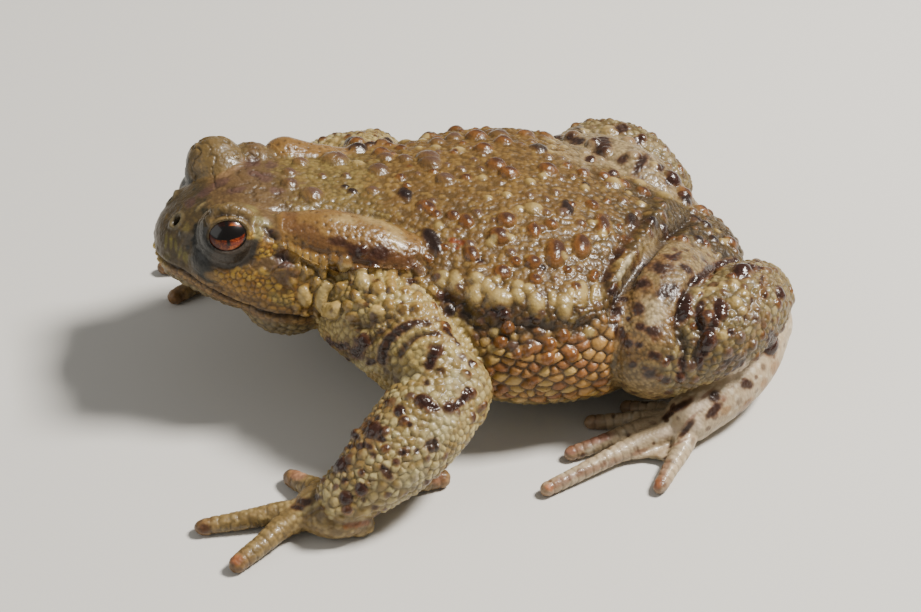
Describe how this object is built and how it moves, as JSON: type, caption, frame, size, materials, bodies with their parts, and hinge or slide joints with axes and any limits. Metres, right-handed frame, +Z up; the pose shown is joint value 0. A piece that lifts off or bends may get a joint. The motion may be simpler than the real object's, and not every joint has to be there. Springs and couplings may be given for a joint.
{
  "type": "common toad",
  "caption": "Common toad sitting up on its forelegs, head raised, as a still life-size model with warty skin and copper eyes.",
  "frame": {"origin": "middle of the toad's bounding box, on the floor that it sits on", "axes": "-X towards the snout, +X towards the vent, -Y towards the toad's own left side, +Z up"},
  "size_m": [0.1092, 0.1132, 0.0383],
  "materials": {
    "skin": "moist, warty",
    "leg_skin": "moist, spotted",
    "hand_skin": "moist, smooth",
    "eye": "wet gloss"
  },
  "bodies": {
    "root": {"head": "skin", "torso": "skin", "eye_left": "eye", "eye_right": "eye", "upper_arm_left": "skin", "upper_arm_right": "skin", "forearm_left": "leg_skin", "forearm_right": "leg_skin", "hand_left": "hand_skin", "hand_right": "hand_skin", "thigh_left": "leg_skin", "thigh_right": "leg_skin", "shank_left": "leg_skin", "shank_right": "leg_skin", "foot_left": "hand_skin", "foot_right": "hand_skin"}
  },
  "joints": []
}
